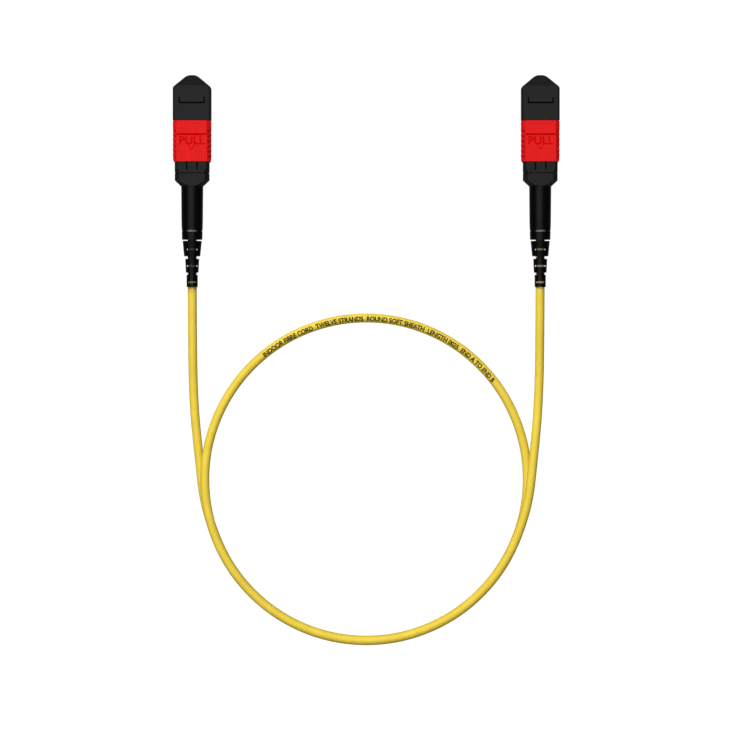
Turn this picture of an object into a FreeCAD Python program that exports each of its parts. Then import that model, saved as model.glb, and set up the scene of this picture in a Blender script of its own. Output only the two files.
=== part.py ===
import FreeCAD, Part
import math
import os

# Trunk cable for twelve optical fibres: a round jacketed cable laid in one and a half turns,
# with a push-pull multi-fibre plug and a dust cap on each end.
#
# Frame: millimetres. The cable lies on the plane Z = 0. X runs from the left plug to the right
# plug and Y points the way both plugs face. The origin is on that plane, midway between the
# plugs and midway along them.
# Each plug is modelled about its own axis: X is its width, Z its height, and Y runs from the
# rear end of its boot (Y = 0) to the tip of its dust cap.

Vector = FreeCAD.Vector
sideways = Vector(1, 0, 0)
upward = Vector(0, 0, 1)

# Cable and its lay
cable_diameter = 3.0
plug_spacing = 116.0        # between the axes of the two plugs
loop_radius = 53.8          # centre line of the loop
loop_centre_y = -99.35
points_per_turn = 16
loop_points = 24            # one and a half turns, symmetric about the Y axis
upper_points = 8            # the last ones, which lie on the turn below
climb_shares = (0.484, 0.968)  # of the climb, at the two points before those
strand_gap = 0.1            # between a strand and the one that lies on it
leg_bend_run = 8.75         # from the end of a boot to where its leg bends down
leg_floor_y = -73.0         # where it comes to the floor
leg_join_y = -92.0          # where it joins the loop
leg_floor_lean = 0.25       # how far it leans inwards there
leg_join_lean = 2.15
leg_dip = 0.55              # how far the right leg's corner at the floor lies below it
arc_share = 0.45            # of the shorter run beside a corner, taken up by its arc

# Ferrule and what moves with it
ferrule_width = 6.4
ferrule_height = 2.5
ferrule_length = 7.95
ferrule_proud = 0.6         # how far it stands out of the plug's nose
ferrule_face_angle = 8.0    # polish angle of the end face, degrees
flange_length = 2.0
flange_step_x = 0.45
flange_step_z = 0.35
guide_hole_diameter = 0.7
guide_hole_pitch = 4.6
window_width = 2.6
window_length = 1.8
window_depth = 0.8
window_from_flange = 1.0
spacer_length = 4.1
spacer_disc_length = 0.8
fibre_boot_width = 3.5
fibre_boot_height = 1.8
fibre_boot_chamfer = 0.3
fibre_boot_seat = 1.7       # how deep it sits in the ferrule
fibre_boot_tail = 2.7       # how far it reaches behind the spacer
ribbon_width = 3.05
ribbon_height = 0.3

# Plug housing
cavity_clearance = 0.15     # around the ferrule's flange
nose_wall_x = 0.85
nose_wall_z = 0.85
nose_length = 10.5
nose_chamfer = 0.4
aperture_clearance = 0.1    # around the ferrule in the nose
key_width = 3.0
key_height = 0.85
key_length = 8.5
latch_notch_length = 2.0    # where an adapter's hooks catch the nose
latch_notch_depth = 0.5
latch_notch_from_tip = 4.2
block_wall_z = 0.7          # above and below the main spring
channel_wall = 0.55         # between a spring channel and the cavity
channel_height = 1.7
channel_length = 8.2
stop_wall = 0.8             # the wall that the sleeve's tabs come to rest against
block_chamfer = 0.9
rear_chamfer = 1.38         # the wider chamfer of the rear rim and of the shoulder
rear_rim_length = 1.1
slit_width = 0.4
slit_depth = 0.9
slit_pitch = 3.45
slit_length = 4.2
rim_gap = 0.2               # parting line between the housing and the rear body

# Springs
main_spring_diameter = 5.7  # outside
main_spring_wire = 0.45
main_spring_turns = 4
main_spring_sides = 12      # straight sides drawn in each turn
main_spring_room = 0.25
sleeve_spring_diameter = 1.15
sleeve_spring_wire = 0.2
sleeve_spring_turns = 6
sleeve_spring_sides = 8
seat_gap = 0.05             # between a spring and its seats
disc_room = 0.15            # in front of the spacer's disc

# Pull sleeve
sleeve_length = 13.75
sleeve_overhang = 3.35      # how far it reaches over the nose
sleeve_clearance = 0.1
sleeve_wall_x = 0.525
sleeve_wall_z = 0.5
sleeve_chamfer = 1.25
sleeve_bore_chamfer = 0.95
sleeve_edge = 0.2           # bevel of its end edges
heel_length = 1.0           # the slanted rear ends of its sides
heel_depth = 0.35
tab_length = 1.1
tab_height = 1.4
tab_clearance = 0.1
tab_rest_gap = 0.1
pad_length = 4.4            # raised front pads, above and below
pad_width = 9.8
pad_height = 0.2
pad_corner = 0.3
pad_groove_width = 0.4      # behind each pad
pad_groove_depth = 0.22
grip_count = 6
grip_pitch = 1.7
grip_width = 0.8
grip_depth = 0.28
grip_chamfer = 1.4          # how far a groove cuts into the sleeve's corner
grip_inset = 1.02           # from the sleeve's side to the inner end of a groove
grip_band = 2.4             # height of the smooth band between the grooves above and below
grip_from_rear = 1.5        # rear end of the sleeve to the middle of the first groove

# Rear body, yarn, crimp ring
exposed_length = 3.8        # housing that shows behind the sleeve
shoulder_length = 4.3
shoulder_cone_angle = 46.5  # half angle of the cone that the shoulder is turned to
shoulder_proud = 0.05       # radius of the cone's small end beyond the boot's
insert_length = 6.2
insert_clearance = 0.05
barb_length = 1.5
barb_height = 0.3
barb_depth = 2.0
barb_clearance = 0.1
barb_from_front = 2.0
stub_length = 11.9
stub_wall = 0.7
bore_clearance = 0.04       # around the ribbon's corners
yarn_thickness = 0.22
yarn_length = 6.5
yarn_from_stub_end = 0.5
fit_gap = 0.03
crimp_wall = 0.32
crimp_length = 8.0
crimp_tail_length = 4.5
crimp_tail_wall = 1.1
crimp_overlap = 3.3         # jacket inside the tail
crimp_hex_length = 5.0
crimp_hex_depth = 0.14

# Boot
boot_length = 33.5
boot_clearance = 0.12       # around the crimp ring
cable_clearance = 0.08      # around the cable
boot_barrel_wall = 0.68     # over the crimp ring, at the shoulder
boot_waist_wall = 0.58      # over the crimp ring, at its rear end
boot_neck_wall = 0.58       # over the crimp ring's tail, at the last slot
# Slots, tail first: they open upwards and downwards, then sideways, in turn
slot_places = (1.6, 4.4, 7.0, 9.8, 12.5, 15.55, 18.7)
slot_widths = (0.6, 0.8, 0.6, 0.9, 0.6, 0.45, 0.6)
slot_half_widths = (1.5, 1.15, 1.75, 1.15, 1.75, 1.38, 1.8)  # of the slot, then of the spine
# Wall over the cable at both ends of each ring between two side slots, tail first
ring_walls = ((0.28, 0.30), (0.52, 0.77), (1.07, 1.64))
line_width = 0.3            # shallow line around the boot at its foremost slot
line_depth = 0.08

# Dust cap
cap_length = 15.0
cap_gap = 0.15              # to the sleeve
cap_fit = 0.08              # around the nose
cap_chamfer = 0.55
cap_end_space = 1.2         # in front of the ferrule
cap_taper_length = 4.1
cap_tip_width = 3.0
cap_slope_length = 3.5
cap_tip_height = 5.0
cap_tip_round = 0.5         # seen from the side
cap_tip_corner = 3.6        # seen from above
tip_corner_share = 0.95     # of the tip's width, at most, taken up by its two corners
cap_shoulder_corner = 1.0
ramp_width = 7.8            # finger ramps, above and below
ramp_length = 1.8
ramp_height = 0.4
ramp_from_rear = 5.92
ramp_groove_width = 0.4     # around the rear and the sides of each ramp
ramp_groove_depth = 0.35

fuse_depth = 0.2            # how far a fused tab or barb runs into the wall that carries it
overcut = 1.0               # how far a cut runs past an open side
tolerance = 1e-6            # edges closer than this to a plane lie in it

# Sections that follow from those above
cable_radius = cable_diameter / 2
flange_width = ferrule_width + 2 * flange_step_x
flange_height = ferrule_height + 2 * flange_step_z
cavity_width = flange_width + 2 * cavity_clearance
cavity_height = flange_height + 2 * cavity_clearance
nose_width = cavity_width + 2 * nose_wall_x
nose_height = cavity_height + 2 * nose_wall_z
spring_bore = main_spring_diameter / 2 + main_spring_room
channel_floor = cavity_width / 2 + channel_wall
sleeve_spring_offset = channel_floor + tab_clearance + sleeve_spring_diameter / 2
block_width = 2 * (sleeve_spring_offset + sleeve_spring_diameter / 2 + tab_clearance)
block_height = 2 * (spring_bore + block_wall_z)
sleeve_bore_width = block_width + 2 * sleeve_clearance
sleeve_bore_height = block_height + 2 * sleeve_clearance
sleeve_width = sleeve_bore_width + 2 * sleeve_wall_x
sleeve_height = sleeve_bore_height + 2 * sleeve_wall_z
axis_height = sleeve_height / 2 + pad_height
cap_height = 2 * (axis_height - ramp_height)
stub_bore = math.hypot(ribbon_width, ribbon_height) / 2 + bore_clearance
stub_radius = stub_bore + stub_wall
yarn_bore = stub_radius + fit_gap
yarn_radius = yarn_bore + yarn_thickness
crimp_bore = yarn_radius + fit_gap
crimp_radius = crimp_bore + crimp_wall
cable_bore = cable_radius + cable_clearance
tail_radius = cable_bore + crimp_tail_wall
boot_pocket = crimp_radius + boot_clearance
boot_throat = tail_radius + boot_clearance
boot_radius = boot_pocket + boot_barrel_wall

# Places along a plug's axis
housing_rear = boot_length + shoulder_length
sleeve_rear = housing_rear + exposed_length
sleeve_front = sleeve_rear + sleeve_length
pad_rear = sleeve_front - pad_length
cap_rear = sleeve_front + cap_gap
cap_tip = cap_rear + cap_length
nose_root = sleeve_front - sleeve_overhang
nose_tip = nose_root + nose_length
ferrule_front = nose_tip + ferrule_proud
ferrule_rear = ferrule_front - ferrule_length
flange_front = ferrule_rear + flange_length
fibre_boot_front = ferrule_rear + fibre_boot_seat
spacer_front = ferrule_rear - seat_gap
disc_front = spacer_front - spacer_length
disc_rear = disc_front - spacer_disc_length
fibre_boot_rear = disc_rear - fibre_boot_tail
insert_front = housing_rear + insert_length
channel_front = nose_root - stop_wall
channel_rear = channel_front - channel_length
tab_front = channel_front - tab_rest_gap
tab_rear = tab_front - tab_length
stub_end = boot_length - stub_length
crimp_rear = stub_end - fit_gap
crimp_front = crimp_rear + crimp_length
tail_rear = crimp_rear - crimp_tail_length
cable_end = tail_rear + crimp_overlap


def bar(width, height, start, end, chamfer=0.0):
    """A bar along Y, centred on the axis, with its long edges chamfered."""
    x, z = width / 2, height / 2
    if not chamfer:
        return Part.makeBox(width, end - start, height, Vector(-x, start, -z))
    corners = []
    for sx, sz in ((1, 1), (-1, 1), (-1, -1), (1, -1)):
        beside = Vector(sx * x, start, sz * (z - chamfer))
        above = Vector(sx * (x - chamfer), start, sz * z)
        corners += [beside, above] if sx == sz else [above, beside]
    return prism(corners, Vector(0, end - start, 0))


def prism(corners, along):
    return Part.Face(Part.makePolygon(corners + corners[:1])).extrude(along)


def rod(radius, start, end):
    return Part.makeCylinder(radius, end - start, Vector(0, start, 0), Vector(0, 1, 0))


def turned(profile):
    """A solid of revolution about Y from (radius, place) corners."""
    corners = [Vector(radius, place, 0) for radius, place in profile]
    face = Part.Face(Part.makePolygon(corners + corners[:1]))
    return face.revolve(Vector(0, 0, 0), Vector(0, 1, 0), 360)


def pair(shape, normal):
    """A shape and its mirror image across the axis."""
    return [shape, shape.mirror(Vector(0, 0, 0), normal)]


def edges_along(direction, shape, place):
    """The edges of a shape that run in one direction at one place along Y."""
    return [edge for edge in shape.Edges
            if all(abs(vertex.Y - place) < tolerance for vertex in edge.Vertexes)
            and abs((edge.Vertexes[-1].Point - edge.Vertexes[0].Point).dot(direction)) > tolerance]


def spring(diameter, wire, turns, sides, start, end):
    """A compression spring about Y with its ends ground flat, swept along straight sides."""
    radius = (diameter - wire) / 2
    pitch = (end - start) / turns
    route = []
    for index in range((turns + 2) * sides + 1):
        angle = 2 * math.pi * index / sides
        along = start + pitch * (index / sides - 1)
        route.append(Vector(radius * math.cos(angle), along, radius * math.sin(angle)))
    half = wire / 2
    corners = [route[0] + Vector(x * half, y * half, 0)
               for x, y in ((-1, -1), (1, -1), (1, 1), (-1, 1))]
    section = Part.makePolygon(corners + corners[:1])
    mitred = 1
    coil = Part.makePolygon(route).makePipeShell([section], True, False, mitred)
    return coil.common(bar(2 * diameter, 2 * diameter, start, end))


def ferrule():
    half = ferrule_height / 2
    body = bar(ferrule_width, ferrule_height, flange_front, ferrule_front)
    flange = bar(flange_width, flange_height, ferrule_rear, flange_front, flange_step_z)
    fall = math.tan(math.radians(ferrule_face_angle)) * ferrule_height
    polish = prism([
        Vector(-ferrule_width, ferrule_front, -half),
        Vector(-ferrule_width, ferrule_front, half),
        Vector(-ferrule_width, ferrule_front - fall, half),
    ], Vector(2 * ferrule_width, 0, 0))
    pocket = bar(fibre_boot_width + 2 * fit_gap, fibre_boot_height + 2 * fit_gap,
                 ferrule_rear, fibre_boot_front + fit_gap)
    window = Part.makeBox(
        window_width, window_length, window_depth,
        Vector(-window_width / 2, flange_front + window_from_flange, half - window_depth))
    hole = rod(guide_hole_diameter / 2, ferrule_rear, ferrule_front)
    holes = pair(hole.translated(sideways * (guide_hole_pitch / 2)), sideways)
    return body.fuse(flange).cut([polish, pocket, window] + holes).removeSplitter()


def fibre_boot():
    sleeve = bar(fibre_boot_width, fibre_boot_height, fibre_boot_rear, fibre_boot_front,
                 fibre_boot_chamfer)
    slot = bar(ribbon_width + 2 * fit_gap, ribbon_height + 2 * fit_gap,
               fibre_boot_rear, fibre_boot_front)
    return sleeve.cut(slot)


def pin_spacer():
    block = bar(flange_width - 2 * fit_gap, flange_height - 2 * fit_gap, disc_front, spacer_front)
    disc = rod(main_spring_diameter / 2, disc_rear, disc_front)
    passage = bar(fibre_boot_width + 2 * fit_gap, fibre_boot_height + 2 * fit_gap,
                  disc_rear, spacer_front)
    return block.fuse(disc).cut(passage).removeSplitter()


def fibre_ribbon():
    """The twelve fibres side by side, from the end of the jacket to the ferrule."""
    return bar(ribbon_width, ribbon_height, cable_end + fit_gap, fibre_boot_front)


def keyhole_bar(clearance, start, end):
    """The section shared by the housing's rear cavity and the rear body's insert."""
    flat = bar(cavity_width - 2 * clearance, cavity_height - 2 * clearance, start, end)
    return flat.fuse(rod(spring_bore - clearance, start, end)).removeSplitter()


def barb(clearance):
    """The ramp on one side of the insert or, with a clearance, the pocket that it snaps into."""
    root = cavity_width / 2 - insert_clearance - fuse_depth
    crest = cavity_width / 2 + barb_height + clearance
    front = insert_front - barb_from_front + clearance
    rear = front - barb_length - 2 * clearance
    half = barb_depth / 2 + clearance
    corners = [Vector(root, rear, -half), Vector(crest, rear, -half), Vector(root, front, -half)]
    return prism(corners, upward * (2 * half))


def plug_housing():
    rim_front = housing_rear + rear_rim_length
    block = bar(block_width, block_height, rim_front, nose_root, block_chamfer)
    rim = bar(block_width, block_height, housing_rear + rim_gap, rim_front, rear_chamfer)
    nose = bar(nose_width, nose_height, nose_root, nose_tip, nose_chamfer)
    key = Part.makeBox(key_width, key_length, key_height,
                       Vector(-key_width / 2, nose_root, nose_height / 2))
    channel = Part.makeBox(
        block_width, channel_length, channel_height,
        Vector(channel_floor, channel_rear, -channel_height / 2))
    notch = Part.makeBox(
        nose_width, latch_notch_length, nose_height,
        Vector(nose_width / 2 - latch_notch_depth, nose_tip - latch_notch_from_tip,
               -nose_height / 2))
    slit = Part.makeBox(
        slit_width, slit_length, slit_depth,
        Vector((slit_pitch - slit_width) / 2, rim_front, block_height / 2 - slit_depth))
    cuts = [
        keyhole_bar(0, housing_rear, disc_front + disc_room),
        bar(cavity_width, cavity_height, housing_rear, flange_front + fit_gap),
        bar(ferrule_width + 2 * aperture_clearance, ferrule_height + 2 * aperture_clearance,
            flange_front, nose_tip),
    ]
    for shape in (channel, notch, barb(barb_clearance)):
        cuts += pair(shape, sideways)
    for shape in pair(slit, sideways):
        cuts += pair(shape, upward)
    return block.fuse([rim, nose, key]).cut(cuts).removeSplitter()


def sleeve_pad():
    """The raised pad at the front of the sleeve's upper face, with round rear corners."""
    pad = Part.makeBox(pad_width, pad_length, pad_height + sleeve_wall_z / 2,
                       Vector(-pad_width / 2, pad_rear, sleeve_height / 2 - sleeve_wall_z / 2))
    return pad.makeFillet(pad_corner, edges_along(upward, pad, pad_rear))


def grip_groove(middle):
    """One groove in the sleeve's upper right corner, down to the smooth band of its side."""
    start, end = middle - grip_width / 2, middle + grip_width / 2
    around = bar(sleeve_width + overcut, sleeve_height, start, end)
    core = bar(sleeve_width - 2 * grip_depth, sleeve_height, start, end, grip_chamfer)
    corner = Part.makeBox(sleeve_width, grip_width, sleeve_height,
                          Vector(sleeve_width / 2 - grip_inset, start, grip_band / 2))
    return around.cut(core).common(corner)


def pull_sleeve():
    shell = bar(sleeve_width, sleeve_height, sleeve_rear, sleeve_front, sleeve_chamfer)
    end_edges = [edge for edge in shell.Edges
                 if abs(edge.Vertexes[0].Y - edge.Vertexes[-1].Y) < tolerance]
    shell = shell.makeChamfer(sleeve_edge, end_edges)
    heel = prism([
        Vector(sleeve_width / 2 - heel_depth, sleeve_rear, -sleeve_height),
        Vector(sleeve_width, sleeve_rear, -sleeve_height),
        Vector(sleeve_width, sleeve_rear + heel_length, -sleeve_height),
        Vector(sleeve_width / 2, sleeve_rear + heel_length, -sleeve_height),
    ], upward * (2 * sleeve_height))
    cuts = [bar(sleeve_bore_width, sleeve_bore_height, sleeve_rear, sleeve_front,
                sleeve_bore_chamfer)]
    cuts += pair(heel, sideways)
    for index in range(grip_count):
        groove = grip_groove(sleeve_rear + grip_from_rear + index * grip_pitch)
        for shape in pair(groove, sideways):
            cuts += pair(shape, upward)
    pad_groove = Part.makeBox(
        pad_width - 2 * pad_corner, pad_groove_width, sleeve_height,
        Vector(pad_corner - pad_width / 2, pad_rear - pad_groove_width,
               sleeve_height / 2 - pad_groove_depth))
    cuts += pair(pad_groove, upward)
    tab_root = channel_floor + tab_clearance
    tab = Part.makeBox(sleeve_bore_width / 2 - tab_root + fuse_depth, tab_length, tab_height,
                       Vector(tab_root, tab_rear, -tab_height / 2))
    added = pair(tab, sideways) + pair(sleeve_pad(), upward)
    return shell.cut(cuts).fuse(added).removeSplitter()


def sleeve_spring():
    """One of the two springs that push the sleeve forward, about its own axis."""
    return spring(sleeve_spring_diameter, sleeve_spring_wire, sleeve_spring_turns,
                  sleeve_spring_sides, channel_rear + seat_gap, tab_rear - seat_gap)


def main_spring():
    return spring(main_spring_diameter, main_spring_wire, main_spring_turns, main_spring_sides,
                  insert_front + seat_gap, disc_rear - seat_gap)


def rear_body():
    slope = math.tan(math.radians(shoulder_cone_angle))
    small_end = boot_radius + shoulder_proud
    cone = Part.makeCone(small_end, small_end + slope * shoulder_length, shoulder_length,
                         Vector(0, boot_length, 0), Vector(0, 1, 0))
    shoulder = bar(block_width, block_height, boot_length, housing_rear, rear_chamfer).common(cone)
    stub = rod(stub_radius, stub_end, boot_length)
    insert = keyhole_bar(insert_clearance, housing_rear, insert_front)
    solid = shoulder.fuse([stub, insert] + pair(barb(0), sideways))
    return solid.cut(rod(stub_bore, stub_end, insert_front)).removeSplitter()


def aramid_yarn():
    """The cable's strength yarn, spread over the stub and held by the crimp ring."""
    start = stub_end + yarn_from_stub_end
    end = start + yarn_length
    return turned([(yarn_bore, start), (yarn_radius, start), (yarn_radius, end), (yarn_bore, end)])


def crimp_ring():
    """A stepped ring: its tail holds the jacket, and its crimped band the yarn."""
    ring = turned([
        (cable_bore, tail_rear), (tail_radius, tail_rear),
        (tail_radius, crimp_rear - crimp_wall), (crimp_radius, crimp_rear + crimp_wall),
        (crimp_radius, crimp_front), (crimp_bore, crimp_front),
        (crimp_bore, crimp_rear), (cable_bore, crimp_rear),
    ])
    start = (crimp_rear + crimp_wall + crimp_front - crimp_hex_length) / 2
    corner = (crimp_radius - crimp_hex_depth) / math.cos(math.pi / 6)
    die = prism([
        Vector(corner * math.cos(k * math.pi / 3), start, corner * math.sin(k * math.pi / 3))
        for k in range(6)
    ], Vector(0, crimp_hex_length, 0))
    band = rod(crimp_radius + overcut, start, start + crimp_hex_length)
    return ring.cut(band.cut(die))


def boot_outline():
    """Outer corners of the boot: rings that step up at each side slot, then the barrel."""
    corners = []
    ring_start = 0.0
    for ring_end, (rear_wall, front_wall) in zip(slot_places[1::2], ring_walls):
        corners += [(cable_bore + rear_wall, ring_start), (cable_bore + front_wall, ring_end)]
        ring_start = ring_end
    return corners + [
        (boot_throat + boot_neck_wall, ring_start),
        (boot_pocket + boot_waist_wall, crimp_rear),
        (boot_radius, boot_length),
    ]


def boot():
    shell = turned([(0, 0)] + boot_outline() + [(0, boot_length)])
    throat_rear = tail_rear - boot_clearance
    pocket_rear = crimp_rear - crimp_wall - boot_clearance
    cuts = [
        rod(cable_bore, 0, throat_rear),
        rod(boot_throat, throat_rear, pocket_rear),
        rod(boot_pocket, pocket_rear, boot_length),
    ]
    span = 2 * boot_radius
    for index, (place, width, half) in enumerate(zip(slot_places, slot_widths, slot_half_widths)):
        start = place - width / 2
        if index % 2 == 0:
            cuts.append(Part.makeBox(2 * half, width, 2 * span, Vector(-half, start, -span)))
        else:
            side = Part.makeBox(span, width, 2 * span, Vector(half, start, -span))
            cuts += pair(side, sideways)
    line_start = slot_places[-1] - line_width / 2
    line_end = line_start + line_width
    waist = boot_throat + boot_neck_wall
    cuts.append(turned([(waist - line_depth, line_start), (span, line_start),
                        (span, line_end), (waist - line_depth, line_end)]))
    return shell.cut(cuts).removeSplitter()


def cap_outline(half, tip_half, taper_length, place):
    """Corners of the cap's outline: a bar that tapers to its tip. place puts them in a plane."""
    shoulder = cap_tip - taper_length
    return [place(*corner) for corner in (
        (-half, cap_rear), (half, cap_rear), (half, shoulder),
        (tip_half, cap_tip), (-tip_half, cap_tip), (-half, shoulder),
    )]


def ramp_groove():
    """The groove around the upper ramp: level behind it, and running out along its sides."""
    top = cap_height / 2
    floor = top - ramp_groove_depth
    rear = cap_rear + ramp_from_rear
    outer = ramp_width / 2 + ramp_groove_width
    behind = Part.makeBox(2 * outer, ramp_groove_width, cap_height,
                          Vector(-outer, rear - ramp_groove_width, floor))
    beside = prism([
        Vector(ramp_width / 2, rear, floor),
        Vector(ramp_width / 2, rear + ramp_length, top),
        Vector(ramp_width / 2, rear + ramp_length, top + ramp_height),
        Vector(ramp_width / 2, rear, top + ramp_height),
    ], sideways * ramp_groove_width)
    return behind.fuse(pair(beside, sideways)).removeSplitter()


def dust_cap():
    half_width, half_height = sleeve_width / 2, cap_height / 2
    plan = prism(cap_outline(half_width, cap_tip_width / 2, cap_taper_length,
                             lambda x, y: Vector(x, y, -half_height)), upward * cap_height)
    tip_turn = math.atan2(cap_taper_length, half_width - cap_tip_width / 2)
    widest_corner = tip_corner_share * cap_tip_width / 2 / math.tan(tip_turn / 2)
    plan = plan.makeFillet(min(cap_tip_corner, widest_corner), edges_along(upward, plan, cap_tip))
    shoulder = cap_tip - cap_taper_length
    plan = plan.makeFillet(cap_shoulder_corner, edges_along(upward, plan, shoulder))
    side = prism(cap_outline(half_height, cap_tip_height / 2, cap_slope_length,
                             lambda z, y: Vector(-half_width, y, z)), sideways * sleeve_width)
    side = side.makeFillet(cap_tip_round, edges_along(sideways, side, cap_tip))
    body = bar(sleeve_width, cap_height, cap_rear, cap_tip, cap_chamfer).common(plan).common(side)
    ramp_rear = cap_rear + ramp_from_rear
    ramp = prism([
        Vector(-ramp_width / 2, ramp_rear, half_height - fuse_depth),
        Vector(-ramp_width / 2, ramp_rear, half_height + ramp_height),
        Vector(-ramp_width / 2, ramp_rear + ramp_length, half_height),
        Vector(-ramp_width / 2, ramp_rear + ramp_length, half_height - fuse_depth),
    ], sideways * ramp_width)
    cavity_end = ferrule_front + cap_end_space
    cavity = bar(nose_width + 2 * cap_fit, nose_height + 2 * cap_fit, cap_rear, cavity_end)
    keyway = Part.makeBox(
        key_width + 2 * cap_fit, cavity_end - cap_rear, nose_height / 2 + key_height + cap_fit,
        Vector(-key_width / 2 - cap_fit, cap_rear, 0))
    grooves = pair(ramp_groove(), upward)
    return body.cut(grooves).fuse(pair(ramp, upward)).cut([cavity, keyway]).removeSplitter()


def cable_route():
    """Corners of the cable's route, from inside the left boot to inside the right one."""
    end_y = cable_end - cap_tip / 2
    bend_y = -cap_tip / 2 - leg_bend_run
    floor = cable_radius
    upper = floor + cable_diameter + strand_gap
    beside = plug_spacing / 2
    left_leg = [
        (-beside, end_y, axis_height), (-beside, bend_y, axis_height),
        (leg_floor_lean - beside, leg_floor_y, floor), (leg_join_lean - beside, leg_join_y, floor),
    ]
    right_leg = [
        (beside - leg_join_lean, leg_join_y, upper - strand_gap),
        (beside - leg_floor_lean, leg_floor_y, floor - leg_dip),
        (beside, bend_y, axis_height), (beside, end_y, axis_height),
    ]
    step = 2 * math.pi / points_per_turn
    corner_radius = loop_radius / math.cos(step / 2)
    first = 1.5 * math.pi - (loop_points - 1 - points_per_turn) / 2 * step
    lower_points = loop_points - upper_points - len(climb_shares)
    shares = (0.0,) * lower_points + climb_shares + (1.0,) * upper_points
    loop = []
    for index, share in enumerate(shares):
        angle = first + index * step
        loop.append((corner_radius * math.cos(angle),
                     loop_centre_y + corner_radius * math.sin(angle),
                     floor + share * (upper - floor)))
    return [Vector(*point) for point in left_leg + loop + right_leg]


def rounded_path(corners):
    """Straight runs joined by tangent arcs, each as large as its two runs allow."""
    edges = []
    radii = []
    here = corners[0]
    for before, corner, after in zip(corners, corners[1:], corners[2:]):
        back, ahead = before - corner, after - corner
        reach = arc_share * min(back.Length, ahead.Length)
        half_turn = (math.pi - back.getAngle(ahead)) / 2
        radius = reach / math.tan(half_turn)
        start = corner + back.normalize() * reach
        end = corner + ahead.normalize() * reach
        inward = ((start + end) * 0.5 - corner).normalize()
        middle = corner + inward * (radius / math.cos(half_turn) - radius)
        edges.append(Part.LineSegment(here, start).toShape())
        edges.append(Part.Arc(start, middle, end).toShape())
        radii.append(radius)
        here = end
    edges.append(Part.LineSegment(here, corners[-1]).toShape())
    print("cable bend radii, mm:", " ".join(f"{radius:.0f}" for radius in radii))
    return Part.Wire(edges)


def cable():
    route = cable_route()
    path = rounded_path(route)
    section = Part.Wire(Part.makeCircle(cable_radius, route[0], Vector(0, 1, 0)))
    solid = path.makePipeShell([section], True, False)
    expected = math.pi * cable_radius ** 2 * path.Length
    print(f"cable length {path.Length:.1f} mm, volume over section times length "
          f"{solid.Volume / expected:.4f}")
    return solid


def plug_pieces():
    """One plug about its own axis: the names of its pieces and their solids."""
    return {
        "dust_cap": dust_cap(),
        "pull_sleeve": pull_sleeve(),
        "sleeve_spring_left": sleeve_spring().translated(sideways * -sleeve_spring_offset),
        "sleeve_spring_right": sleeve_spring().translated(sideways * sleeve_spring_offset),
        "plug_housing": plug_housing(),
        "ferrule": ferrule(),
        "fibre_boot": fibre_boot(),
        "pin_spacer": pin_spacer(),
        "main_spring": main_spring(),
        "fibre_ribbon": fibre_ribbon(),
        "rear_body": rear_body(),
        "aramid_yarn": aramid_yarn(),
        "crimp_ring": crimp_ring(),
        "boot": boot(),
    }


def main():
    os.makedirs("parts", exist_ok=True)
    cable().exportStep("parts/cable.step")
    pieces = plug_pieces()
    for side, direction in (("left", -1), ("right", 1)):
        place = Vector(direction * plug_spacing / 2, -cap_tip / 2, axis_height)
        for name, shape in pieces.items():
            shape.translated(place).exportStep(f"parts/{side}_{name}.step")


main()
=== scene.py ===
import bpy
import bmesh
import math
from mathutils import Matrix, Vector


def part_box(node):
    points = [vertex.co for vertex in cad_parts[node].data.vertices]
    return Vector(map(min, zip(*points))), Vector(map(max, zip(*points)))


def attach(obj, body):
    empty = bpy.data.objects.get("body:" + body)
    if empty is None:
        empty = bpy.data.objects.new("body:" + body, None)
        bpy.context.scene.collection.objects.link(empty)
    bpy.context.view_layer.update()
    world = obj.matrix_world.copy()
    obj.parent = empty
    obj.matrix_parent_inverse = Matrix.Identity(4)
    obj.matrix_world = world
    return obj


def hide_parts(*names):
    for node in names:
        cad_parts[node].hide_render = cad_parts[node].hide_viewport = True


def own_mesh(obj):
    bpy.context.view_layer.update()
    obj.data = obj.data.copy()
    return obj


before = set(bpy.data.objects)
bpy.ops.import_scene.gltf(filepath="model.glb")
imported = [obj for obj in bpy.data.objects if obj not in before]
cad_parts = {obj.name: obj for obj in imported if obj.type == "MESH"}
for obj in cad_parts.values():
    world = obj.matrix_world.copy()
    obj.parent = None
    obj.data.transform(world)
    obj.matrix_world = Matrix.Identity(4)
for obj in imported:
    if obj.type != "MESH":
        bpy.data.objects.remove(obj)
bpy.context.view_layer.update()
scene = bpy.context.scene
mm = 0.001
sides = {"left": -58.0, "right": 58.0}     # each plug's axis, mm from the middle
axisHeight = 4.6                           # of both plugs, mm
white = (1.0, 1.0, 1.0, 1.0)
print("frame loaded:", len(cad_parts), "nodes")


def newObject(name, data):
    made = bpy.data.objects.new(name, data)
    scene.collection.objects.link(made)
    return made


# shader maths: a wire is one socket, and an operator adds the node for it

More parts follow.
